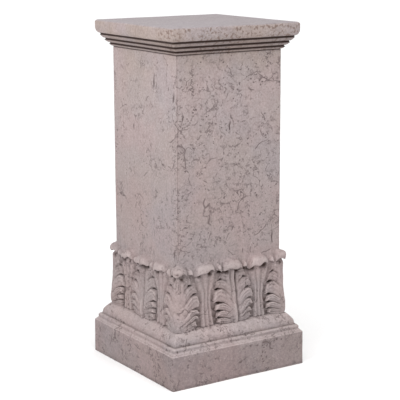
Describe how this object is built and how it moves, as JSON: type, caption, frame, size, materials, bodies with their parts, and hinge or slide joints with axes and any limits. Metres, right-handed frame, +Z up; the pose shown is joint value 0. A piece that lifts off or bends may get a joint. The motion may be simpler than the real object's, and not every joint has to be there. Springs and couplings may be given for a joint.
{
  "type": "square pedestal with an acanthus leaf band",
  "caption": "Square cast stone pedestal with a moulded plinth, a band of curled acanthus leaves, a plain shaft, a reeded cornice and a slab cap.",
  "frame": {"origin": "middle of the underside, on the floor that the pedestal stands on", "axes": "+Z up along the pedestal's axis; the four faces look along +X, -X, +Y and -Y"},
  "size_m": [0.356, 0.356, 0.79],
  "materials": {
    "cast_stone": "matt pinkish grey cast stone, with fine dark veins, small pits and brown in its grooves"
  },
  "bodies": {
    "root": {"pedestal": "cast_stone"}
  },
  "joints": []
}
